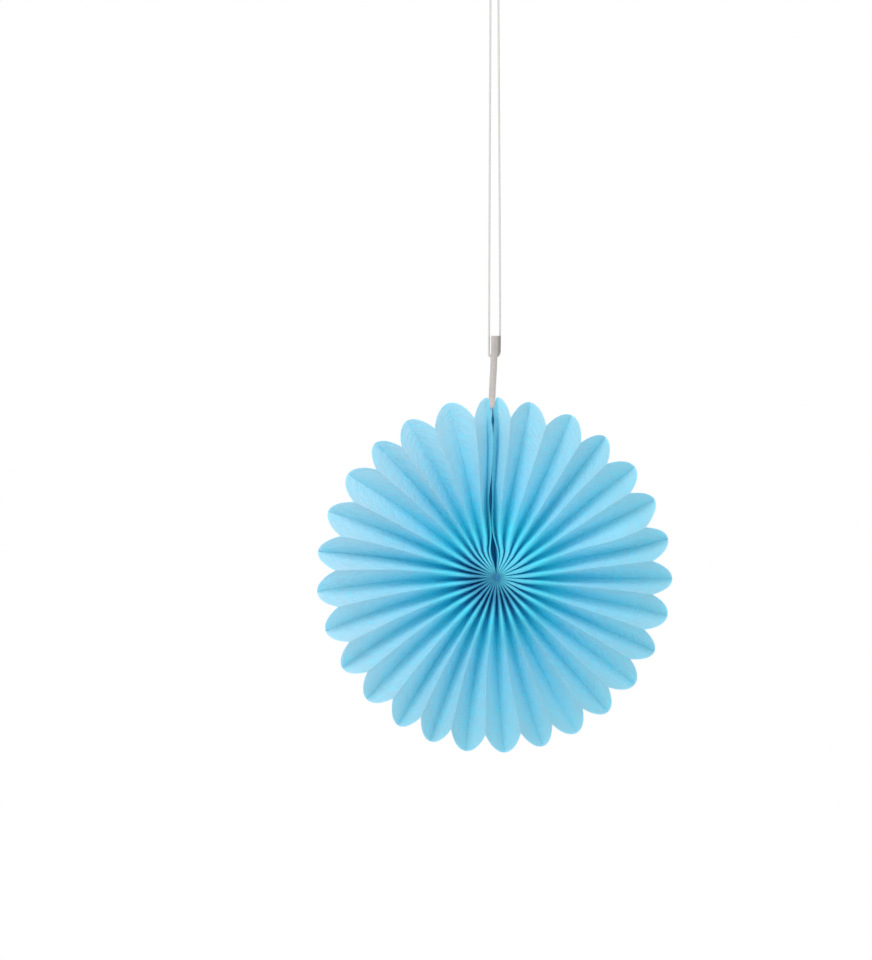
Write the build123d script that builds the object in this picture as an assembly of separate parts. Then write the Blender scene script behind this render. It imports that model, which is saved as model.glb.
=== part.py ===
"""Hanging paper fan rosette: one pleated strip of tissue, closed into a scalloped disc, on a strap
and a loop of string. The disc faces -Y and hangs below the origin, the inside top of the loop."""

from build123d import *
from math import asin, atan2, cos, degrees, pi, radians, sin, sqrt, tan
import os

# The pleated disc, in millimetres
tip_radius = 76.2
lobe_height = 7.6
lobe_count = 28
panel_width = 12.7
paper_thickness = 0.15
hub_radius = 1.6

# The seam: a tent in the middle of the top lobe, with the two end flaps of the strip glued inside it
tent_half_width = 2.2
seam_gap = 0.3
mouth_radius = 12
mouth_width = 2.8
mouth_end = 24

# Each panel twists from its hub to the rim, and flat triangles take the place of the twist
facet_rows = 4

# The glue: a band between the end flaps, from past the mouth to short of the strap's tail, and a plug
# in the bore of the hub
band_mouth_gap = 4
band_tail_gap = 1.6
band_depth = 8
plug_length = 8
plug_clearance = 0.002

# The strap: its neck runs from the sockets to the rim of the disc, its tail starts below the rim, and the
# distances of its head are from the middle of the strap
neck_length = 18.4
strap_width = 2.9
strap_thickness = 0.8
strap_wall = 0.45
tail_length = 12
tail_depth = 3
tail_front = -4.5
tail_inset = 2.6
neck_start = 1
head_height = 6.8
head_left = 1.2
head_right = 2.9
head_front = 1.9
head_back = 0.6
head_bevel = 1.5
head_side = 0.35
shoulder_height = 1.7

# The string
string_diameter = 0.9
string_clearance = 0.05
passing_gap = 0.15
loop_width = 3.36
socket_drop = 160.4
socket_depth = 1.0
left_reach = 0.9
right_reach = 1.2

# Sizes that follow
rim_drop = socket_drop + neck_length
fan_centre = Vector(0, 0, -rim_drop - tip_radius)
notch_radius = tip_radius - lobe_height
rough_radius = tip_radius + lobe_height / 4
lobe_pitch = 360 / lobe_count
panel_count = 2 * lobe_count + 4
root_angle = degrees(asin(tent_half_width / tip_radius))
socket_bore = string_diameter + 2 * string_clearance
neck_depth = socket_bore + 2 * strap_wall
shoulder_bottom = socket_bore / 2 - socket_drop
head_bottom = shoulder_bottom + shoulder_height
head_top = head_bottom + head_height


def polar(radius, angle):
    """Point in the plane of the disc, by distance from its centre and degrees clockwise from the top."""
    return Vector(radius * sin(radians(angle)), 0, radius * cos(radians(angle)))


def crest_offset(radius):
    """Distance of either crest of the tent from the seam. The two part in a mouth near the hub."""
    closed = seam_gap / 2 + paper_thickness
    if radius >= mouth_end:
        return closed
    if radius >= mouth_radius:
        share = (mouth_end - radius) / (mouth_end - mouth_radius)
    else:
        share = (radius - hub_radius) / (mouth_radius - hub_radius)
    return closed + share * (mouth_width / 2 - closed)


def fold_place(fold, radius):
    """Point of a fold in the plane of the disc. Folds count clockwise from the seam, and odd ones are ridges.
    Fold 0 is the end of the strip, fold 1 a crest of the tent and fold 2 its root. The others share out the
    circle evenly round the hub and the mouth, and run straight from there to the rim."""
    if fold == 0:
        return Vector(seam_gap / 2, 0, radius)
    if fold == 1:
        return Vector(crest_offset(radius), 0, radius)
    if fold > panel_count / 2:
        twin = fold_place(panel_count - fold, radius)
        return Vector(-twin.X, 0, twin.Z)
    if radius <= mouth_radius:
        crest_angle = degrees(asin(crest_offset(radius) / radius))
        return polar(radius, crest_angle + (180 - crest_angle) * (fold - 1) / (panel_count / 2 - 1))
    rim_angle = root_angle if fold == 2 else lobe_pitch * (fold - 2) / 2
    share = (radius - mouth_radius) / (rough_radius - mouth_radius)
    return fold_place(fold, mouth_radius) * (1 - share) + polar(rough_radius, rim_angle) * share


def rise(fold, radius):
    """Depth from a fold to the next one that keeps the panel between them at its full width."""
    spread = (fold_place(fold + 1, radius) - fold_place(fold, radius)).length
    return sqrt(panel_width**2 - spread**2)


def fold_depth(fold, radius):
    """Distance of a fold behind the middle of the disc. Ridges are in front of it, so theirs is negative."""
    ridge = -rise(4, radius) / 2
    fold = min(fold, panel_count - fold)
    if fold >= 3:
        return ridge if fold % 2 else -ridge
    root = ridge + rise(2, radius)
    crest = root - rise(1, radius)
    return (crest + rise(0, radius), crest, root)[fold]


def panel_section(panel, radius):
    """Corners of one panel cut across: ridge, front face, valley, back face, with flats outside the folds."""
    ridge_fold, valley_fold = (panel, panel + 1) if panel % 2 else (panel + 1, panel)
    half = Vector(0, paper_thickness / 2, 0)
    ridge = fold_place(ridge_fold, radius) + Vector(0, fold_depth(ridge_fold, radius), 0)
    valley = fold_place(valley_fold, radius) + Vector(0, fold_depth(valley_fold, radius), 0)
    across = Vector(valley.X - ridge.X, 0, valley.Z - ridge.Z)
    slope = atan2(valley.Y - ridge.Y, across.length)
    flat = across.normalized() * paper_thickness * tan(slope / 2)
    front = [ridge - half, ridge - half + flat, valley - half]
    return front + [valley + half, valley + half - flat, ridge + half]


def facets(near, far, first, second):
    """Two flat triangles from one side of a section to the same side of the next section out."""
    diagonal = [near[first], far[second]]
    return [Face(Wire.make_polygon(diagonal + [corner])) for corner in (near[second], far[first])]


def folded_sheet():
    """The folded strip, bent round into a disc, with its inner and outer edges still straight."""
    row_length = (rough_radius - mouth_end) / facet_rows
    radii = [hub_radius, mouth_radius] + [mouth_end + row_length * row for row in range(facet_rows + 1)]
    faces = []
    for panel in range(panel_count):
        sections = [panel_section(panel, radius) for radius in radii]
        sides = [(0, 1), (1, 2), (5, 4), (4, 3)]
        if panel in (0, panel_count - 1):
            sides.append((2, 3))
        for near, far in zip(sections, sections[1:]):
            for first, second in sides:
                faces += facets(near, far, first, second)
        faces += [Face(Wire.make_polygon(end)) for end in (sections[0], sections[-1])]
    return Solid(Shell(faces))


def half_lobe(tip, notch):
    """Half a parabola from a notch up to the tip of its lobe, given both as points and level at the tip."""
    level = Vector(tip.Z, 0, -tip.X).normalized()
    return Bezier(notch, tip + level * (notch - tip).dot(level) / 2, tip)


def lobed_disc():
    """Disc with two half parabolas for each lobe, thicker than the pleats are deep."""
    tips = [polar(tip_radius, lobe_pitch * lobe) for lobe in range(1, lobe_count)]
    first, last = polar(tip_radius, root_angle), polar(tip_radius, -root_angle)
    notches = [polar(notch_radius, lobe_pitch * (lobe + 0.5)) for lobe in range(lobe_count)]
    edges = [Edge.make_line(last, first)]
    for tip, notch in zip([first] + tips, notches):
        edges.append(half_lobe(tip, notch))
    for tip, notch in zip(tips + [last], notches):
        edges.append(half_lobe(tip, notch))
    return extrude(Face(Wire(edges)), amount=panel_width, dir=(0, 1, 0), both=True)


def tent_trim():
    """What is cut off the tent, like all the panels: a crest ends at the notches and a root at the tips."""
    crest, root = fold_depth(1, tip_radius), fold_depth(2, tip_radius)
    low, high = (crest - paper_thickness, notch_radius), (root, tip_radius)
    edge = Bezier(low, ((low[0] + high[0]) / 2, tip_radius), high)
    outside = Polyline(high, (root, rough_radius), (low[0], rough_radius), low)
    return extrude(Plane.YZ * Face(Wire([edge] + outside.edges())), amount=tent_half_width, both=True)


def pleated_fan():
    """The strip of tissue, pleated and cut to lobes at its outer edge."""
    return Pos(fan_centre) * ((folded_sheet() & lobed_disc()) - tent_trim())


def seam_glue():
    """Band of glue between the two end flaps of the strip."""
    inner_end = mouth_end + band_mouth_gap
    outer_end = tip_radius - tail_inset - tail_length - band_tail_gap
    place = fan_centre + Vector(0, 0, (inner_end + outer_end) / 2)
    return Pos(place) * Box(seam_gap, band_depth, outer_end - inner_end)


def centre_glue():
    """Plug of glue in the bore of the hub, which holds the inner ends of all the pleats."""
    bore_radius = hub_radius * cos(pi / panel_count) - plug_clearance
    return Pos(fan_centre) * Cylinder(bore_radius, plug_length, rotation=(90, 0, 0))


def strap_section(height, width, front, back):
    """Section of the strap at a height on the seam, between two depths."""
    x = width / 2
    corners = [(x, front), (x, back), (-x, back), (-x, front)]
    return Wire.make_polygon([Vector(*corner, height) for corner in corners])


def strap_tape():
    """The tape: its tail, edge-on between the end flaps, and the neck that thickens up to the head."""
    tail = (seam_gap, tail_front, tail_front + tail_depth)
    slack = (strap_width, -strap_thickness / 2, strap_thickness / 2)
    full = (strap_width, -neck_depth / 2, neck_depth / 2)
    sections = [
        strap_section(-rim_drop - tail_inset - tail_length, *tail),
        strap_section(-rim_drop - tail_inset, *tail),
        strap_section(-rim_drop + neck_start, *slack),
        strap_section(-socket_drop - socket_bore, *full),
        strap_section(head_bottom - shoulder_height / 2, *full),
    ]
    return Solid.make_loft(sections, ruled=True)


def strap_head():
    """The folded end of the tape, seen from the front and from above, with a bevel on its right side."""
    strand_side = strap_width / 2 + right_reach - string_diameter
    flange_back = -string_diameter / 2 - passing_gap
    outline = Polyline(
        (-head_left, head_top),
        (head_right, head_top),
        (head_right, head_bottom),
        (strap_width / 2, shoulder_bottom),
        (-strap_width / 2, shoulder_bottom),
        (-head_left, head_bottom),
        close=True,
    )
    plan = Polyline(
        (-head_left, -head_front),
        (head_right - head_bevel, -head_front),
        (head_right, flange_back - head_side),
        (head_right, flange_back),
        (strand_side, flange_back),
        (strand_side, head_back),
        (-head_left, head_back),
        close=True,
    )
    seen_from_front = extrude(Plane.XZ * Face(Wire(outline)), amount=2 * head_front, both=True)
    seen_from_above = extrude(Face(Wire(plan)), amount=-rim_drop)
    return seen_from_front & seen_from_above


def hanging_strap():
    """The strap, with a socket in each side of its neck for an end of the string."""
    side = strap_width / 2
    socket = Cylinder(socket_bore / 2, 2 * socket_depth, rotation=(0, 90, 0))
    strap = strap_tape() + strap_head()
    return strap - [Pos(x, 0, -socket_drop) * socket for x in (-side, side)]


def string_route():
    """Corners of the string: out of the left socket, up, round the loop, down and into the right socket."""
    side = strap_width / 2
    loop_top = string_diameter / 2
    return [
        Vector(socket_depth - side, 0, -socket_drop),
        Vector(-side - left_reach, 0, -socket_drop),
        Vector(-loop_width / 2, 0, loop_top),
        Vector(loop_width / 2, 0, loop_top),
        Vector(side + right_reach, 0, -socket_drop),
        Vector(side - socket_depth, 0, -socket_drop),
    ]


def bend_radii(route):
    """Radius at each corner: as large as its two runs allow."""
    radii = []
    for before, corner, after in zip(route, route[1:], route[2:]):
        run_in, run_out = corner - before, after - corner
        turn = radians(run_in.get_angle(run_out))
        radii.append(0.45 * min(run_in.length, run_out.length) / tan(turn / 2))
    return radii


def hanging_string():
    """The loop of string, straight and taut between its bends."""
    route = string_route()
    radii = bend_radii(route)
    path = FilletPolyline(*route, radius=radii)
    section = Plane(path @ 0, z_dir=path % 0) * Circle(string_diameter / 2)
    string = sweep(section, path)
    print("string bend radii", [round(radius, 2) for radius in radii])
    print("string length", round(path.length, 1), "volume over section times length",
          round(string.volume / (pi * string_diameter**2 / 4 * path.length), 4))
    return string


pieces = {
    "pleated_fan": pleated_fan(),
    "seam_glue": seam_glue(),
    "centre_glue": centre_glue(),
    "hanging_strap": hanging_strap(),
    "hanging_string": hanging_string(),
}
os.makedirs("parts", exist_ok=True)
for name, piece in pieces.items():
    export_step(piece, f"parts/{name}.step")
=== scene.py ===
"""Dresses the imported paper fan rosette: pleated tissue, tape strap, string, glue and the stage around them.
Laid out as an add-on and run as a script. Lengths are in metres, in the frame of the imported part."""

import math

import bpy
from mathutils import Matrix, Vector, noise


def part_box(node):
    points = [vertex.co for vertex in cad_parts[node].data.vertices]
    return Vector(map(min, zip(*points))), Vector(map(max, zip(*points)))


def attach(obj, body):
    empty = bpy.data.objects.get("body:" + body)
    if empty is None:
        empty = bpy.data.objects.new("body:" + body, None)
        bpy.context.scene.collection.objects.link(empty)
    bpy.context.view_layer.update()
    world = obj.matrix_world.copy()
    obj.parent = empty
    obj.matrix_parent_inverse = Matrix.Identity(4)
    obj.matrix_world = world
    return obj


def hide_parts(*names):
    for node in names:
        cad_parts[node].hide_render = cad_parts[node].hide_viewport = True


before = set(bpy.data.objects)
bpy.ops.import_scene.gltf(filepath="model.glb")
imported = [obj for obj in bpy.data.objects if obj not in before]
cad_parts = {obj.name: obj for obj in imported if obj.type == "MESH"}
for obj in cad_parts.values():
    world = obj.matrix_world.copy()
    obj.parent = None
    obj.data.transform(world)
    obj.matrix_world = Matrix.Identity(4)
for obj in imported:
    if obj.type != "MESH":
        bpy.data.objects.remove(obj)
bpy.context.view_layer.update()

bl_info = {
    "name": "Paper Fan Rosette",
    "version": (1, 0, 0),
    "blender": (4, 5, 0),
    "location": "View3D > Sidebar > Paper Fan",
    "description": "Builds the tissue, strap and string of a hanging paper fan rosette",
    "category": "Object",
}

fan_low, fan_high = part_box("pleated_fan")
disc_radius = (fan_high[0] - fan_low[0]) / 2
disc_centre = Vector((0, 0, fan_low[2] + disc_radius))


def tint(red, green, blue):
    """Colour from the 0 to 255 values of a colour picker."""
    shares = [value / 255 for value in (red, green, blue)]
    return tuple(share / 12.92 if share < 0.04 else ((share + 0.055) / 1.055) ** 2.4 for share in shares)


def length(name, description, default):
    """Property for a length in metres."""
    return bpy.props.FloatProperty(
        name=name, description=description, default=default, min=0, precision=5, unit="LENGTH"
    )


def colour(name, description, default):
    """Property for a colour."""
    return bpy.props.FloatVectorProperty(
        name=name, description=description, default=default, min=0, max=1, size=3, subtype="COLOR"
    )


class PaperFanSizes(bpy.types.PropertyGroup):
    """Sizes of the fan, its strap and its string."""

    lobes: bpy.props.IntProperty(name="Lobes", description="Lobes round the rim", default=28, min=8)
    radius: length("Radius", "From the hub to the tips of the lobes", disc_radius)
    lobe_height: length("Lobe height", "From the notches to the tips", 0.0076)
    panel_width: length("Panel width", "From one fold to the next", 0.0127)
    bore: length("Bore", "Radius of the bore that the glue fills", 0.0016)
    eye: length("Eye", "Radius at which the front folds meet over the bore", 0.0004)
    thickness: length("Thickness", "Thickness of the tissue", 0.00008)
    tent_half_width: length("Tent half width", "Half the width of the tent over the seam", 0.0022)
    tent_height: length("Tent height", "How far the tent stands up from its roots away from the hub", 0.0046)
    tent_drop: length("Tent drop", "How much lower the tent is at the rim", 0.002)
    tent_notch: length("Tent notch", "How far the crest of the tent ends below the tips", 0.0044)
    root_lift: length("Root lift", "How far the pull of the strap opens the folds beside the tent", 0.0033)
    mouth_width: length("Mouth width", "Gap between the two crests near the hub", 0.0032)
    slit_width: length("Slit width", "Gap between the two crests halfway out", 0.0012)
    diamond_width: length("Diamond width", "Gap between the two crests below the strap", 0.00096)
    ripple: length("Ripple", "Waves along the folds", 0.00035)
    bulge: length("Bulge", "How far the panels bow between their folds", 0.0003)
    stretch: length("Stretch", "How much longer than the radius the lobes are on average", 0.0008)
    unevenness: length("Unevenness", "How much the lobes differ in length", 0.0006)
    seam_bend: length("Seam bend", "How far the seam bends to the left near the hub", 0.0019)
    tent_lean: length("Tent lean", "How far the crests of the tent lean to the right", 0.0004)
    hub_slip: length("Hub slip", "How far the hub has slipped to the right", 0.0009)
    hub_sag: length("Hub sag", "How far the hub has sagged", 0.0004)
    string_diameter: length("String diameter", "Diameter of the string", 0.0009)


class PaperFanColours(bpy.types.PropertyGroup):
    """Colours of the fan, its strap and its string."""

    rim: colour("Rim", "Tissue at the rim", tint(176, 208, 218))
    middle: colour("Middle", "Tissue halfway out", tint(166, 232, 248))
    inner: colour("Inner", "Tissue a quarter of the way out", tint(86, 243, 255))
    hub: colour("Hub", "Tissue at the hub, where the pleats are packed", tint(100, 230, 255))
    # Painted shade: dark tone for the valleys near the hub, the roots of the tent and the end flaps.
    valley_shade: colour("Deep", "Tissue at the bottom of the folds near the hub", tint(0, 148, 214))
    lit: colour("Lit through", "Tissue that light shines through", tint(116, 238, 255))
    # Pale fibres and cut edges, and painted highlight on the ridges near the hub and on the left wall of the
    # tent.
    pale_fibre_and_highlight: colour("Crease", "Worn ridges near the hub and cut edges", tint(196, 232, 248))
    # Painted light: paler tone for the upper left side, where the light falls.
    brightened: colour("Brightened", "Tissue on the side that the light has faded", tint(218, 227, 236))
    # Glue colour, also used as painted shade on the lower left of the hub.
    soaked: colour("Soaked glue", "Glue, and what lies in it, that has taken up the dye", tint(36, 118, 172))
    tape: colour("Tape", "Cotton tape of the strap", tint(184, 178, 175))
    # Painted shade: grey for the right side of the strap, away from the light.
    right_shade: colour("Hem", "Right side of the strap, grey with handling", tint(132, 131, 124))
    string: colour("String", "Cotton string", tint(208, 206, 204))
    glue: colour("Glue", "Dried glue", tint(44, 142, 190))
    floor: colour("Floor", "Floor under the fan", tint(244, 244, 244))


class Amount:
    """A number that changes over a surface. An expression on it adds the Math nodes that work it out."""

    def __init__(self, finish, socket):
        self.finish = finish
        self.socket = socket

    def join(self, operation, *numbers):
        """Number that one Math node works out."""
        node = self.finish.node("ShaderNodeMath", {"operation": operation}, dict(enumerate(numbers)))
        return Amount(self.finish, node.outputs[0])

    def sine(self):
        return self.join("SINE", self)

    def back_and_forth(self, width):
        """Number that runs up from 0 to the width and down again, over and over."""
        return self.join("PINGPONG", self, width)

    def __add__(self, other):
        return self.join("ADD", self, other)

    def __sub__(self, other):
        return self.join("SUBTRACT", self, other)

    def __rsub__(self, other):
        return self.join("SUBTRACT", other, self)

    def __mul__(self, other):
        return self.join("MULTIPLY", self, other)

    def __gt__(self, other):
        return self.join("GREATER_THAN", self, other)

    __radd__ = __add__
    __rmul__ = __mul__


class Finish:
    """A procedural material while it is being put together."""

    def __init__(self, name, roughness):
        self.material = bpy.data.materials.new(name)
        self.material.use_nodes = True
        self.tree = self.material.node_tree
        self.shader = self.tree.nodes["Principled BSDF"]
        self.shader.inputs["Roughness"].default_value = roughness

    def feed(self, socket, value):
        """Gives a socket a value, or a link from another socket."""
        value = value.socket if isinstance(value, Amount) else value
        if isinstance(value, bpy.types.NodeSocket):
            self.tree.links.new(value, socket)
        elif isinstance(value, (int, float)):
            socket.default_value = value
        else:
            socket.default_value = tuple(value) + (1,) * (len(socket.default_value) - len(value))

    def node(self, kind, settings, sockets):
        """Adds a node: first its settings, a ramp's stops among them, then what its sockets are fed."""
        node = self.tree.nodes.new(kind)
        for name, setting in settings.items():
            if name == "stops":
                for spare in range(len(setting) - 2):
                    node.color_ramp.elements.new(0.5)
                for stop, (place, stop_colour) in zip(node.color_ramp.elements, setting):
                    stop.position = place
                    stop.color = tuple(stop_colour) + (1,)
            else:
                setattr(node, name, setting)
        for name, value in sockets.items():
            self.feed(node.inputs[name], value)
        return node

    def place(self):
        """Place on the object, in metres."""
        return self.node("ShaderNodeTexCoord", {}, {}).outputs["Object"]

    def parts(self, vector):
        """The three numbers of a vector."""
        split = self.node("ShaderNodeSeparateXYZ", {}, {0: vector})
        return [Amount(self, output) for output in split.outputs]

    def vector(self, x, y, z):
        """A vector from three numbers."""
        return self.node("ShaderNodeCombineXYZ", {}, {0: x, 1: y, 2: z}).outputs[0]

    def mottle(self, vector, scale, detail=3.0):
        """Soft noise from 0 to 1."""
        sockets = {"Vector": vector, "Scale": scale, "Detail": detail, "Roughness": 0.55}
        return Amount(self, self.node("ShaderNodeTexNoise", {}, sockets).outputs[0])

    def span(self, value, low, high, to_low=0.0, to_high=1.0):
        """Turns a range of a number into another range, and stops at its ends."""
        sockets = {0: value, 1: low, 2: high, 3: to_low, 4: to_high}
        node = self.node("ShaderNodeMapRange", {"interpolation_type": "SMOOTHSTEP"}, sockets)
        return Amount(self, node.outputs[0])

    def mix(self, share, first, second):
        """Colour between two colours."""
        node = self.node("ShaderNodeMix", {"data_type": "RGBA"}, {0: share, 6: first, 7: second})
        return node.outputs[2]

    def ramp(self, value, stops):
        """Colour from a row of stops."""
        return self.node("ShaderNodeValToRGB", {"stops": stops}, {0: value}).outputs[0]

    def let_light_through(self, share, light_colour):
        """Lets part of the light that falls on the far side come through, in one colour."""
        through = self.node("ShaderNodeBsdfTranslucent", {}, {"Color": light_colour})
        sockets = {0: share, 1: self.shader.outputs[0], 2: through.outputs[0]}
        both = self.node("ShaderNodeMixShader", {}, sockets)
        self.feed(self.tree.nodes["Material Output"].inputs["Surface"], both.outputs[0])

    def coat(self, base, height, depth):
        """Gives the surface its colour and its relief, whose depth is in metres."""
        self.feed(self.shader.inputs["Base Color"], base)
        bump = self.node("ShaderNodeBump", {}, {"Height": height, "Distance": depth, "Strength": 1.0})
        self.feed(self.shader.inputs["Normal"], bump.outputs[0])
        return self.material


class TissueFinish(Finish):
    """Dyed tissue: paler towards the rim, cloudy, with fine crumples, and pale creases at the hub.
    Along and outwards run from 0 to 1 over the flat strip."""

    light_share = 0.38
    relief_depth = 0.0009

    # How far each layer hides the dye under it
    painted_light_share = 0.65
    cloud_share = 0.4
    fibre_share = 0.5
    ridge_highlight_share = 0.45
    hub_shade_share = 0.7
    tent_shade_share = 0.5
    lit_wall_share = 0.4
    flap_shade_share = 0.8

    def __init__(self, panels, colours):
        super().__init__("dyed_tissue", roughness=0.85)
        self.panels = panels
        self.colours = colours
        flat = self.node("ShaderNodeUVMap", {"uv_map": "flat_strip"}, {}).outputs[0]
        self.along, self.outwards, _ = self.parts(flat)
        self.across, _, up = self.parts(self.place())
        self.above = up - disc_centre.z
        self.clouds = self.crumple(along=190, outwards=19, seed=0, scale=1.4, detail=4)
        self.fibres = self.crumple(along=700, outwards=70, seed=1, scale=2.2, detail=2)
        self.threads = self.crumple(along=1100, outwards=9, seed=2, scale=1.0, detail=3)
        crepe_place = self.vector(self.along * 100 + self.outwards * 7, self.outwards * 62, 3)
        self.crepe = self.mottle(crepe_place, 1.0)

    def crumple(self, along, outwards, seed, scale, detail):
        """Noise on the flat strip, stretched by how often it changes along the strip and outwards."""
        return self.mottle(self.vector(self.along * along, self.outwards * outwards, seed), scale, detail)

    def make(self):
        """Puts the colours on in layers, and lets light through."""
        dye = self.paint_seam_light_and_shade(self.shade_folds(self.wear(self.dye_and_painted_light())))
        self.let_light_through(self.light_share, self.colours.lit)
        relief = self.clouds * 0.5 + self.fibres * 0.2 + self.threads * 0.2 + self.crepe * 0.35
        return self.coat(dye, relief, self.relief_depth)

    def dye_and_painted_light(self):
        """Dye from the hub to the rim, with painted light that makes the upper left side paler, where the
        light falls.
        """
        colours = self.colours
        stops = [(0.0, colours.glue), (0.03, colours.hub), (0.12, colours.hub), (0.27, colours.inner),
                 (0.5, colours.middle), (1.0, colours.rim)]
        # Painted light: the upper left side, where the light falls, is paler.
        painted_light_side = self.span(self.above * 0.7 - self.across, -0.05, 0.09)
        brightened = painted_light_side * self.span(self.outwards, 0.3, 1.0) * self.painted_light_share
        return self.mix(brightened, self.ramp(self.outwards, stops), colours.brightened)

    def wear(self, dye):
        """Clouds, fibres, threads and the fine ribs of crepe."""
        colours = self.colours
        cloudy = self.span(self.clouds, 0.38, 0.66) * self.span(self.outwards, 0.1, 0.6)
        dye = self.mix(cloudy * self.cloud_share, dye, colours.rim)
        fibrous = self.span(self.fibres, 0.5, 0.72) * cloudy
        dye = self.mix(fibrous * self.fibre_share, dye, colours.pale_fibre_and_highlight)
        dye = self.mix(self.span(self.threads, 0.5, 0.8, 0.0, 0.15), dye, colours.middle)
        dye = self.mix(self.span(self.crepe, 0.45, 0.7, 0.0, 0.3), dye, colours.rim)
        dye = self.mix(self.span(self.crepe, 0.3, 0.5, 0.35, 0.0), dye, colours.inner)
        return self.mix(self.span(self.outwards, 0.985, 0.997, 0.0, 0.5), dye, colours.pale_fibre_and_highlight)

    def shade_folds(self, dye):
        """Near the hub: painted highlight that makes the ridges pale, and painted shade that darkens the
        valleys and the lower left, away from the light.
        """
        colours = self.colours
        from_ridge = (self.along * self.panels - 1).back_and_forth(1.0)
        near_hub = self.span(self.outwards, 0.3, 0.1) * self.span(self.outwards, 0.02, 0.1)
        # Painted highlight: the ridges near the hub are made pale.
        dye = self.mix(self.span(from_ridge, 0.05, 0.0) * near_hub * self.ridge_highlight_share, dye, colours.pale_fibre_and_highlight)
        # Painted shade: the lower left of the hub, away from the light, takes the glue's colour.
        hub_shade = self.span(self.above + self.across * 0.8, 0.004, -0.006) * self.span(self.outwards, 0.25, 0.1)
        dye = self.mix(hub_shade * self.hub_shade_share, dye, colours.soaked)
        # Painted shade: the valleys near the hub are darker, most of all on the lower left, away from the
        # light.
        low_side = self.span(self.above + self.across * 0.6, 0.012, -0.012, 0.0, 0.5)
        valley = self.span(from_ridge, 0.06, 0.5) * self.span(self.outwards, 0.38, 0.12)
        return self.mix(valley * low_side, dye, colours.valley_shade)

    def paint_seam_light_and_shade(self, dye):
        """Painted shade: a darker dye on the walls of the tent, dark lines along its roots and dark end
        flaps; and painted light on the tent's left wall.
        """
        colours, panels = self.colours, self.panels
        from_middle = self.along - 0.5
        off_middle = from_middle * from_middle
        flap, inside, root, outside = ((0.5 - fold / panels) ** 2 for fold in (1, 1.65, 2, 2.2))
        # Painted shade: the walls of the tent get a darker dye.
        dye = self.mix(self.span(off_middle, root, inside) * self.tent_shade_share, dye, colours.inner)
        # Painted shade: dark lines along the roots of the tent.
        root_shade = self.span(off_middle, outside, root) * self.span(off_middle, inside, root)
        root_shade = root_shade * self.span(self.outwards, 0.95, 0.7)
        dye = self.mix(root_shade * self.tent_shade_share, dye, colours.valley_shade)
        # Painted light: the tent's left wall, where the light falls, is paler.
        lit_left_wall = self.span(self.along, 1 - 1.8 / panels, 1 - 1.3 / panels)
        lit_left_wall = lit_left_wall * self.span(self.outwards, 0.4, 0.6)
        dye = self.mix(lit_left_wall * self.lit_wall_share, dye, colours.pale_fibre_and_highlight)
        # Painted shade: the end flaps inside the seam are dark.
        return self.mix((off_middle > flap) * self.flap_shade_share, dye, colours.valley_shade)


def tape_finish(colours):
    """Woven cotton tape with painted shade on its right side, darkest along its right edge, and soaked with
    glue at its foot.
    """
    thread_gap = 0.0005
    relief_depth = 0.00012
    pale_lint = (0.8, 0.79, 0.78)
    head_heights = (-0.167, -0.156)
    right_shade_heights = (-0.176, -0.164)
    foot_heights = (-0.1818, -0.1838)
    finish = Finish("cotton_tape", roughness=0.9)
    across, depth, up = finish.parts(finish.place())
    rounds = 2 * math.pi / thread_gap
    weave = ((across + depth) * rounds).sine() * (up * rounds).sine() * 0.5 + 0.5
    lint = finish.mottle(finish.place(), 900)
    base = finish.mix(weave * 0.35, colours.tape, [value * 0.72 for value in colours.tape])
    base = finish.mix(finish.span(lint, 0.5, 0.8, 0.0, 0.2), base, pale_lint)
    # Painted shade: the strap's right side, away from the light, is greyer, most of all along its right edge
    # below the head.
    right_shade_edge = finish.span(up, *head_heights, 0.0011, 0.0016)
    right_shade = finish.span(across - right_shade_edge, -0.0003, 0.0003) * finish.span(up, *right_shade_heights)
    # Painted shade: the strap darkens from left to right across its width.
    base = finish.mix(finish.span(across, -0.0014, 0.0012) * 0.35, base, colours.right_shade)
    base = finish.mix(right_shade * 0.9, base, colours.right_shade)
    base = finish.mix(finish.span(up, *foot_heights), base, colours.soaked)
    return finish.coat(base, weave * 0.7 + lint * 0.3, relief_depth)


def string_finish(colours):
    """Twisted cotton string with a few loose fibres."""
    strand_gap = 0.0011
    relief_depth = 0.00015
    pale_lint = (0.92, 0.92, 0.91)
    finish = Finish("cotton_string", roughness=0.9)
    across, depth, up = finish.parts(finish.place())
    lint = finish.mottle(finish.vector(across, depth, up * 0.4), 2500)
    strands = ((across * 2 + up) * (2 * math.pi / strand_gap)).sine() * 0.5 + 0.5
    base = finish.mix(strands * 0.3, colours.string, [value * 0.6 for value in colours.string])
    base = finish.mix(finish.span(lint, 0.5, 0.8, 0.0, 0.3), base, pale_lint)
    return finish.coat(base, strands * 0.8 + lint * 0.2, relief_depth)


def glue_finish(colours):
    """Dried glue that has taken up the dye."""
    finish = Finish("dried_glue", roughness=0.6)
    lumps = finish.mottle(finish.place(), 700)
    base = finish.mix(finish.span(lumps, 0.3, 0.7), colours.glue, colours.soaked)
    return finish.coat(base, lumps, 0.0001)


def floor_finish(colours):
    """Pale matt floor."""
    finish = Finish("pale_floor", roughness=0.9)
    grain = finish.mottle(finish.place(), 3)
    base = finish.mix(grain * 0.3, colours.floor, [value * 0.98 for value in colours.floor])
    return finish.coat(base, grain, 0.0005)


def dress(piece, material):
    """Gives a piece one material, in a single slot."""
    piece.data.materials.clear()
    piece.data.materials.append(material)


def blend(first, last, share):
    """Number that lies a share of the way from the first to the last."""
    return first + (last - first) * share


def smooth(value, low, high):
    """Share of the way from low to high, eased at both ends."""
    share = min(max((value - low) / (high - low), 0), 1)
    return share * share * (3 - 2 * share)


def bell(value, middle, half_width):
    """1 at the middle, and close to 0 at twice the half width."""
    return math.exp(-((value - middle) / half_width) ** 2)


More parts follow.
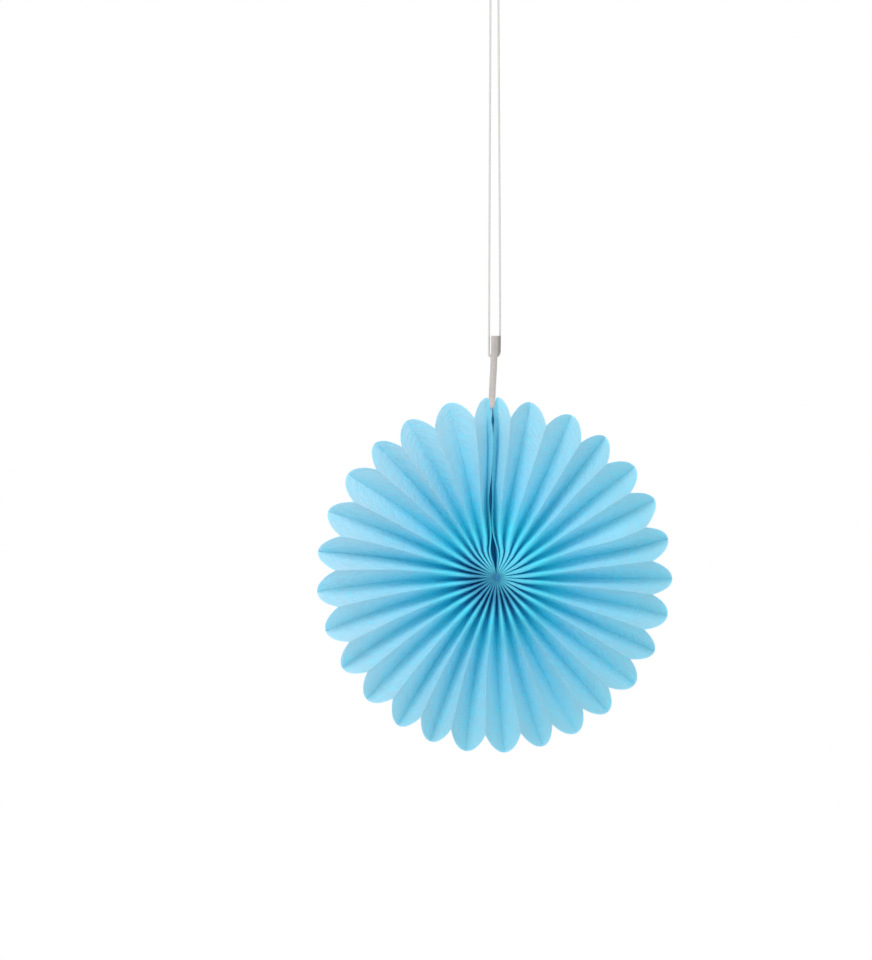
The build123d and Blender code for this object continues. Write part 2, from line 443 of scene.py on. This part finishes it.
class PleatedStrip:
    """How the flat strip of tissue is folded: where each point of it lies on the finished fan.
    Fold 0 is one end of the strip, fold 1 a crest of the tent and fold 2 its root; odd folds are ridges."""

    # Distance from the hub up to which the folds are evenly packed
    even_radius = 0.012

    # Distances from the hub between which something sets in or fades out
    packed_zone = (0.003, 0.009)
    rounded_zone = (0.005, 0.030)
    slipped_zone = (0.004, 0.05)
    opened_zone = (even_radius, 0.045)
    loose_zone = (even_radius, 0.06)
    bowed_zone = (0.02, 0.06)
    pulled_zone = (0.055, 0.072)
    tail_zone = (0.0605, 0.0625)

    # Gaps between the two crests: distance of the middle from the hub, and half the length
    mouth = (0.0105, 0.0055)
    slit = (0.033, 0.007)
    diamond_below_rim, diamond_half_length = 0.0091, 0.0017

    # From the seam to the crests and to the ends of the strip: where they touch, and beside the strap's tail
    crest_distances = (0.00006, 0.0002)
    end_distances = (0.00003, 0.00014)

    # Turn of the lobes from their even places, in radians: all alike, by side, by height and in waves
    all_turn, side_turn, top_turn, wave_turn = -0.041, 0.05, 0.017, 0.004

    # Slight turn of the folds, at most, at the hub and at the rim
    uneven_turns = (0.045, 0.018)

    # The fold that bulges: its turn, then its angle and its distance from the hub, each with half its reach
    bulged_turn, bulged_angle, bulged_radius = 0.04, (1.26, 0.09), (0.056, 0.016)

    # Where the seam bends and where the tent leans: distance from the hub, and half the reach
    bent_radius, leaning_radius = (0.026, 0.022), (0.054, 0.01)

    # How fast the waves, the slips and the bows change along a fold
    wave_rate, slip_rate, bow_rate = 55, 40, 30

    def __init__(self, sizes):
        self.sizes = sizes
        self.panels = 2 * sizes.lobes + 4
        self.pitch = 2 * math.pi / sizes.lobes
        self.root_angle = math.asin(sizes.tent_half_width / sizes.radius)
        self.spread_radius = sizes.radius + sizes.lobe_height / 4

    def crest_offset(self, radius):
        """Distance of either crest of the tent from the seam."""
        sizes = self.sizes
        diamond = (sizes.radius - self.diamond_below_rim, self.diamond_half_length)
        gap = sizes.mouth_width * bell(radius, *self.mouth) + sizes.slit_width * bell(radius, *self.slit)
        gap += sizes.diamond_width * bell(radius, *diamond)
        return blend(*self.crest_distances, smooth(radius, *self.tail_zone)) + gap / 2

    def end_offset(self, radius):
        """Distance of either end of the strip from the seam."""
        return blend(*self.end_distances, smooth(radius, *self.tail_zone))

    def angle(self, fold, radius):
        """Angle of a fold clockwise from the seam, for the folds from the root of the tent on. They are
        evenly packed near the hub, and run nearly straight from there to the rim."""
        crest_angle = math.asin(min(self.crest_offset(radius) / radius, 0.5))
        even = math.pi * (fold - 1) / (self.panels / 2 - 1) + crest_angle * math.exp(-(fold - 1) / 4)
        rim = self.root_angle if fold == 2 else self.pitch * (fold - 2) / 2
        reach = max(radius - self.even_radius, 0) / (self.spread_radius - self.even_radius)
        share = reach * self.spread_radius / max(radius, 0.001)
        return blend(even, rim, min(share, 1))

    def flat_place(self, fold, radius):
        """Place of a fold in the plane of the disc, across and up from the hub."""
        if fold > self.panels / 2:
            across, up = self.flat_place(self.panels - fold, radius)
            return -across, up
        if fold == 0:
            return self.end_offset(radius), radius
        if fold == 1:
            return min(self.crest_offset(radius), 0.5 * radius), radius
        angle = self.angle(fold, radius)
        return radius * math.sin(angle), radius * math.cos(angle)

    def rise(self, fold, radius):
        """Depth from a fold to the next that keeps the panel between them at its full width."""
        spread = math.dist(self.flat_place(fold, radius), self.flat_place(fold + 1, radius))
        return math.sqrt(self.sizes.panel_width ** 2 - spread ** 2)

    def depth(self, fold, radius):
        """Distance of a fold behind the middle of the disc. Past the tent, all pleats are alike."""
        ridge = -self.rise(4, radius) / 2
        near = min(fold, self.panels - fold)
        if near >= 3:
            return ridge if near % 2 else -ridge
        opened = smooth(radius, *self.opened_zone)
        pulled = smooth(radius, *self.pulled_zone)
        root = ridge + self.rise(2, radius) - self.sizes.root_lift * (opened + pulled)
        height = blend(self.rise(1, radius), self.sizes.tent_height, opened)
        crest = root - height + self.sizes.tent_drop * pulled
        return (root, crest, root)[near]

    def tuck(self, place, share):
        """Depth between the end flaps, by the share of the way from their crests to their ends."""
        radius = math.hypot(place.x, place.z)
        return blend(self.depth(1, radius), self.depth(0, radius), share)

    def fold_point(self, fold, radius):
        """Place of a point on a fold, with the slight waves of a soft fold."""
        across, up = self.flat_place(fold, radius)
        loose = smooth(radius, *self.loose_zone)
        ripple = self.sizes.ripple * loose
        wave = ripple * noise.noise(Vector((radius * self.wave_rate, fold * 3.7, 0.5)))
        slip = ripple * noise.noise(Vector((radius * self.slip_rate, fold * 5.1, 7.5))) / radius
        return Vector((across + slip * up, self.depth(fold, radius) + wave, up - slip * across))

    def cut_radius(self, panel, ridge_share, outwards):
        """Distance from the hub, by the share of the way from the bore to the rim, which is cut to lobes."""
        sizes = self.sizes
        from_end = min(panel, self.panels - 1 - panel)
        longer = sizes.stretch + sizes.unevenness * noise.noise(Vector(((panel + 1) // 2 * 4.3, 2.2, 0)))
        notch = (sizes.tent_notch if from_end < 2 else sizes.lobe_height) + longer
        outer = sizes.radius + longer - notch * (1 if from_end == 0 else ridge_share ** 2)
        near_ridge = smooth(ridge_share, 0.82, 1)
        return blend(blend(sizes.bore, sizes.eye, near_ridge), outer, outwards)

    def panel_point(self, panel, share, radius):
        """Place on a panel, by the share of the way from its ridge to its valley. Ridges are rounded near
        the hub and pressed flat round it, further out on the upper right. The flaps close at the seam."""
        ridge, valley = self.fold_point(panel, radius), self.fold_point(panel + 1, radius)
        if panel % 2 == 0:
            ridge, valley = valley, ridge
        is_flap = panel in (0, self.panels - 1)
        upper_right = smooth((ridge.x + 0.8 * ridge.z) / radius, -0.2, 1)
        packed_from, packed_to = self.packed_zone
        packed = 1 - smooth(radius, packed_from, packed_to + 0.010 * upper_right)
        rounded = 1 - smooth(radius, *self.rounded_zone)
        place = ridge.lerp(valley, share ** (3 if is_flap else 1 - 0.4 * rounded - 0.25 * packed))
        place.y = blend(ridge.y, valley.y, share ** (1 + 2 * rounded + 3 * packed))
        if is_flap:
            place.x *= blend(0.2, 1, smooth(1 - share, 0, 0.1))
        return place

    def point(self, along, outwards):
        """Place of a point of the strip, by its panels along and its share of the way out."""
        panel = min(int(along), self.panels - 1)
        share = along - panel
        ridge_share = 1 - share if panel % 2 else share
        radius = self.cut_radius(panel, ridge_share, outwards)
        place = self.panel_point(panel, 1 - ridge_share, radius)
        bow = self.sizes.bulge * smooth(radius, *self.bowed_zone) * math.sin(math.pi * share)
        place.y += bow * 2 * noise.noise(Vector((panel * 2.9, radius * self.bow_rate, 3)))
        return self.settle(place)

    def settled_angle(self, angle, radius):
        """Angle to which a place turns: with the lobes, at a fold that bulges, and a little everywhere else.
        At the seam, which is angle 0, it turns less."""
        reach = radius / self.sizes.radius
        turn = self.all_turn + self.side_turn * math.sin(angle) + self.top_turn * math.cos(angle)
        turn += self.wave_turn * math.sin(7 * angle + 2)
        at_seam = bell(angle, 0, 0.09)
        turn *= reach * (1 - 0.5 * at_seam)
        bulge = self.bulged_turn * bell(angle, *self.bulged_angle) * bell(radius, *self.bulged_radius)
        round_hub = Vector((4 * math.sin(angle), 4 * math.cos(angle), 1.7))
        off_seam = 1 - bell(angle, 0, 0.12)
        off_hub = smooth(radius, 0.001, 0.008)
        uneven = blend(*self.uneven_turns, reach) * noise.noise(round_hub) * off_hub * off_seam
        return angle + turn + bulge + uneven

    def settle(self, place):
        """Lets the folded disc hang as a soft one does: uneven lobes, a bent seam and a hub out of place."""
        sizes = self.sizes
        radius = math.hypot(place.x, place.z)
        angle = self.settled_angle(math.atan2(place.x, place.z), radius)
        across, up = radius * math.sin(angle), radius * math.cos(angle)
        bent = bell(radius, *self.bent_radius) * bell(across, 0, 0.014) * smooth(up, -0.004, 0.012)
        leaning = bell(radius, *self.leaning_radius) * bell(angle, -0.015, 0.02) * smooth(up, 0, 0.02)
        across += sizes.tent_lean * leaning - sizes.seam_bend * bent
        slipped = 1 - smooth(radius, *self.slipped_zone)
        return Vector((across + sizes.hub_slip * slipped, place.y, up - sizes.hub_sag * slipped))


class PAPERFAN_OT_fold_tissue(bpy.types.Operator):
    """Fold a flat strip of tissue into the pleated disc"""

    bl_idname = "paper_fan.fold_tissue"
    bl_label = "Fold Tissue"

    def execute(self, context):
        sizes, colours = context.scene.paper_fan_sizes, context.scene.paper_fan_colours
        strip = PleatedStrip(sizes)
        cuts_per_panel, rows = 6, 54
        bpy.ops.object.select_all(action="DESELECT")
        bpy.ops.mesh.primitive_grid_add(
            x_subdivisions=cuts_per_panel * strip.panels, y_subdivisions=rows, size=2, calc_uvs=True
        )
        fan = context.object
        fan.name = "tissue_disc"
        fan.data.uv_layers[0].name = "flat_strip"
        for vertex in fan.data.vertices:
            along = (vertex.co.x + 1) / 2 * strip.panels
            vertex.co = strip.point(along, (vertex.co.y + 1) / 2) + disc_centre
        bpy.ops.object.mode_set(mode="EDIT")
        bpy.ops.mesh.select_all(action="SELECT")
        bpy.ops.mesh.flip_normals()
        bpy.ops.object.mode_set(mode="OBJECT")
        wall = fan.modifiers.new("wall", "SOLIDIFY")
        wall.thickness = sizes.thickness
        wall.offset = 0
        bpy.ops.object.modifier_apply(modifier=wall.name)
        bpy.ops.object.shade_smooth_by_angle(angle=math.radians(25))
        dress(fan, TissueFinish(strip.panels, colours).make())
        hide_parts("pleated_fan")
        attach(fan, "root")
        return {"FINISHED"}


class PAPERFAN_OT_tie_string(bpy.types.Operator):
    """Lay the taut string from one side of the strap round its loop to the other"""

    bl_idname = "paper_fan.tie_string"
    bl_label = "Tie String"

    def execute(self, context):
        sizes, colours = context.scene.paper_fan_sizes, context.scene.paper_fan_colours
        half = sizes.string_diameter / 2
        end_from_middle = 0.00045
        socket_height = -0.1604
        loop_height = -0.00495
        points = [
            (-end_from_middle, 0, socket_height),
            (-0.00235, 0, socket_height),
            (-0.00234, 0, -0.1585),
            (-0.0017, 0, loop_height),
            (-0.00168, 0, half),
            (0.00168, 0, half),
            (0.00171, 0, loop_height),
            (0.00264, 0, -0.1575),
            (0.0019, 0, -0.1603),
            (end_from_middle, 0, socket_height),
        ]
        curve = bpy.data.curves.new("hanging_twine", "CURVE")
        curve.dimensions = "3D"
        spline = curve.splines.new("NURBS")
        spline.points.add(len(points) - 1)
        for point, place in zip(spline.points, points):
            point.co = (*place, 1)
        spline.order_u = 3
        spline.use_endpoint_u = True
        spline.resolution_u = 12
        curve.bevel_depth = half
        curve.bevel_resolution = 4
        string = bpy.data.objects.new("hanging_twine", curve)
        context.collection.objects.link(string)
        dress(string, string_finish(colours))
        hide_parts("hanging_string")
        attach(string, "root")
        return {"FINISHED"}


def copy_node(name, new_name, cut_length):
    """Copies a node of the frame, merges its loose triangles and cuts it across every so often."""
    bpy.ops.object.select_all(action="DESELECT")
    piece = bpy.data.objects.new(new_name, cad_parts[name].data.copy())
    bpy.context.collection.objects.link(piece)
    bpy.context.view_layer.objects.active = piece
    piece.select_set(True)
    low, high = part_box(name)
    bpy.ops.object.mode_set(mode="EDIT")
    bpy.ops.mesh.select_all(action="SELECT")
    bpy.ops.mesh.remove_doubles(threshold=1e-6)
    bpy.ops.mesh.dissolve_limited(angle_limit=math.radians(1))
    for cut in range(1, int((high.z - low.z) / cut_length)):
        bpy.ops.mesh.select_all(action="SELECT")
        bpy.ops.mesh.bisect(plane_co=(0, 0, low.z + cut * cut_length), plane_no=(0, 0, 1))
    bpy.ops.object.mode_set(mode="OBJECT")
    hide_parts(name)
    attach(piece, "root")
    return piece


def soften(piece, width):
    """Rounds the edges of a piece."""
    edges = piece.modifiers.new("edges", "BEVEL")
    edges.width = width
    edges.segments = 2
    edges.limit_method = "ANGLE"
    edges.angle_limit = math.radians(35)
    bpy.ops.object.modifier_apply(modifier=edges.name)
    bpy.ops.object.shade_smooth_by_angle(angle=math.radians(35))


class PAPERFAN_OT_sew_strap(bpy.types.Operator):
    """Lead the strap down to the seam of the disc, tuck its tail in and give it its cotton weave"""

    bl_idname = "paper_fan.sew_strap"
    bl_label = "Sew Strap"

    # Distances down from the origin, which is at the inside top of the loop
    head_slope_zone = (0.1550, 0.1596)
    head_end = 0.161
    leaning_zone = (0.160, 0.180)
    neck_end = 0.1778
    tail_start = 0.1814
    tail_end_zone = (0.184, 0.1934)

    # Half width, front and depth of the solid strap at the end of its neck and at the start of its tail
    half_widths = (0.00145, 0.00015)
    fronts = (-0.0004, -0.0045)
    depths = (0.0008, 0.003)

    # How far the strap stands aside at its head and at its foot, and where its sloped head has its front
    leans = (0.0002, 0.001)
    head_fronts = (-0.0019, -0.00095)

    # How far the foot comes forward over the tent, and how far it is lowered into the disc
    over_tent = 0.0029
    lowered_by = 0.0028

    # Where the tail's front and back lie, by the share of the way from the crests of the flaps to their ends
    tucked_shares = (0.45, 0.8)

    def execute(self, context):
        strip = PleatedStrip(context.scene.paper_fan_sizes)
        strap = copy_node("hanging_strap", "cotton_strap", 0.001)
        for vertex in strap.data.vertices:
            place = vertex.co
            lean = blend(*self.leans, smooth(-place.z, *self.leaning_zone))
            if -place.z > self.neck_end:
                self.tuck_tail(strip, place, lean)
            else:
                self.slope_head(place)
                place.x -= lean
        soften(strap, 0.00012)
        dress(strap, tape_finish(context.scene.paper_fan_colours))
        return {"FINISHED"}

    def slope_head(self, place):
        """Lets the front of the head run down into the neck."""
        if -place.z < self.head_end:
            front = blend(*self.head_fronts, smooth(-place.z, *self.head_slope_zone))
            place.y = max(place.y, front)

    def tuck_tail(self, strip, place, lean):
        """Narrows the tail later than the solid does, and lays it first in front of the tent and then
        between the end flaps, along the seam."""
        down = -place.z
        share = min((down - self.neck_end) / (self.tail_start - self.neck_end), 1)
        place.x *= blend(*self.half_widths, share ** 2) / blend(*self.half_widths, share)
        behind = (place.y - blend(*self.fronts, share)) / blend(*self.depths, share)
        tucked = strip.tuck(place - disc_centre, blend(*self.tucked_shares, behind))
        laid = self.fronts[0] - self.over_tent * smooth(share, 0, 0.6) + self.depths[0] * behind
        place.y = blend(laid, tucked, share ** 4)
        seam = strip.settle(Vector((0, 0, place.z)) - disc_centre).x
        place.x += blend(-lean, seam, share ** 4)
        lowered = smooth(down, self.neck_end, self.tail_start) * (1 - smooth(down, *self.tail_end_zone))
        place.z -= self.lowered_by * lowered


class PAPERFAN_OT_spread_glue(bpy.types.Operator):
    """Spread the glue between the end flaps, and through the hub to both of its ends"""

    bl_idname = "paper_fan.spread_glue"
    bl_label = "Spread Glue"

    def execute(self, context):
        strip = PleatedStrip(context.scene.paper_fan_sizes)
        finish = glue_finish(context.scene.paper_fan_colours)
        flap_glue = copy_node("seam_glue", "flap_glue", 0.002)
        hub_glue = copy_node("centre_glue", "hub_glue", 0.002)
        self.press_between_flaps(strip, flap_glue)
        self.fill_hub(strip, hub_glue)
        dress(flap_glue, finish)
        dress(hub_glue, finish)
        return {"FINISHED"}

    def press_between_flaps(self, strip, glue):
        """Thins the band of glue and lays it between the end flaps."""
        band_depth = 0.008
        thinner = 0.2
        from_crests, to_ends = 0.15, 0.9
        for vertex in glue.data.vertices:
            place = Vector((vertex.co.x * thinner, vertex.co.y, vertex.co.z)) - disc_centre
            behind = place.y / band_depth + 0.5
            place.y = strip.tuck(place, blend(from_crests, to_ends, behind))
            vertex.co = strip.settle(place) + disc_centre

    def fill_hub(self, strip, glue):
        """Lengthens the plug nearly to both ends of the hub, and lets it soak into the pleats round it."""
        low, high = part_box("centre_glue")
        share_of_hub = 0.96
        longer = share_of_hub * strip.sizes.panel_width / (high.y - low.y)
        wider = 1.05
        for vertex in glue.data.vertices:
            place = vertex.co - disc_centre
            soaked = Vector((place.x * wider, place.y * longer, place.z * wider))
            vertex.co = strip.settle(soaked) + disc_centre


class PAPERFAN_OT_set_stage(bpy.types.Operator):
    """Set the camera, soft lights, white surroundings and floor"""

    bl_idname = "paper_fan.set_stage"
    bl_label = "Set Stage"

    room_light = 0.78
    floor_radius = 0.9
    floor_height = -0.64

    def execute(self, context):
        self.add_camera(context)
        for name, place, size, power in (
            ("key", (-0.55, -1.0, 0.85), 0.9, 15),
            ("fill", (0.9, -1.3, -0.1), 1.2, 3),
            ("back", (0.2, 1.2, 0.5), 1.2, 9),
        ):
            self.add_lamp(context, name, place, size, power)
        self.add_surroundings(context)
        self.add_floor(context)
        return {"FINISHED"}

    def add_camera(self, context):
        """Camera level with the middle of the picture, which is left of the hub and above it."""
        distance = 1.6
        picture_height = 0.4145
        middle = Vector((-0.0252, 0, -0.2136))
        data = bpy.data.cameras.new("photo_camera")
        data.sensor_fit = "VERTICAL"
        data.lens = data.sensor_height * distance / picture_height
        camera = bpy.data.objects.new("photo_camera", data)
        camera.location = middle + Vector((0, -distance, 0))
        camera.rotation_euler = (math.pi / 2, 0, 0)
        context.collection.objects.link(camera)
        context.scene.camera = camera

    def add_lamp(self, context, name, place, size, power):
        """Square soft lamp that points at the disc."""
        data = bpy.data.lights.new(name, "AREA")
        data.size = size
        data.energy = power
        lamp = bpy.data.objects.new(name, data)
        aim = disc_centre - Vector(place)
        lamp.location = place
        lamp.rotation_euler = aim.to_track_quat("-Z", "Y").to_euler()
        context.collection.objects.link(lamp)

    def add_surroundings(self, context):
        """White for the camera and soft light for everything else."""
        world = bpy.data.worlds.new("soft_white")
        world.use_nodes = True
        tree = world.node_tree
        ray = tree.nodes.new("ShaderNodeLightPath")
        seen = ray.outputs["Is Camera Ray"]
        for name in ("Is Glossy Ray", "Is Transmission Ray"):
            either = tree.nodes.new("ShaderNodeMath")
            either.operation = "MAXIMUM"
            tree.links.new(seen, either.inputs[0])
            tree.links.new(ray.outputs[name], either.inputs[1])
            seen = either.outputs[0]
        strength = tree.nodes.new("ShaderNodeMapRange")
        strength.inputs["To Min"].default_value = self.room_light
        tree.links.new(seen, strength.inputs["Value"])
        background = tree.nodes["Background"]
        background.inputs["Color"].default_value = (1, 1, 1, 1)
        tree.links.new(strength.outputs[0], background.inputs["Strength"])
        context.scene.world = world
        context.scene.view_settings.view_transform = "Standard"

    def add_floor(self, context):
        """Pale floor well below the fan."""
        bpy.ops.object.select_all(action="DESELECT")
        bpy.ops.mesh.primitive_circle_add(
            vertices=96, radius=self.floor_radius, fill_type="NGON", location=(0, 0, self.floor_height)
        )
        floor = context.object
        floor.name = "floor"
        bpy.ops.object.transform_apply(location=True, rotation=False, scale=False)
        floor.data.materials.append(floor_finish(context.scene.paper_fan_colours))


class PAPERFAN_PT_panel(bpy.types.Panel):
    """Sizes, colours and steps of the paper fan"""

    bl_idname = "PAPERFAN_PT_panel"
    bl_label = "Paper Fan"
    bl_space_type = "VIEW_3D"
    bl_region_type = "UI"
    bl_category = "Paper Fan"

    def draw(self, context):
        for group in (context.scene.paper_fan_sizes, context.scene.paper_fan_colours):
            for name in group.__annotations__:
                self.layout.prop(group, name)
        for step in steps:
            self.layout.operator(step.bl_idname)


steps = (PAPERFAN_OT_set_stage, PAPERFAN_OT_tie_string, PAPERFAN_OT_fold_tissue, PAPERFAN_OT_sew_strap,
         PAPERFAN_OT_spread_glue)
classes = (PaperFanSizes, PaperFanColours) + steps + (PAPERFAN_PT_panel,)


def register():
    for each in classes:
        bpy.utils.register_class(each)
    bpy.types.Scene.paper_fan_sizes = bpy.props.PointerProperty(type=PaperFanSizes)
    bpy.types.Scene.paper_fan_colours = bpy.props.PointerProperty(type=PaperFanColours)


def unregister():
    del bpy.types.Scene.paper_fan_colours
    del bpy.types.Scene.paper_fan_sizes
    for each in reversed(classes):
        bpy.utils.unregister_class(each)


def main():
    """Builds everything in order."""
    register()
    bpy.ops.paper_fan.set_stage()
    bpy.ops.paper_fan.tie_string()
    bpy.ops.paper_fan.fold_tissue()
    bpy.ops.paper_fan.sew_strap()
    bpy.ops.paper_fan.spread_glue()


if __name__ == "__main__":
    main()
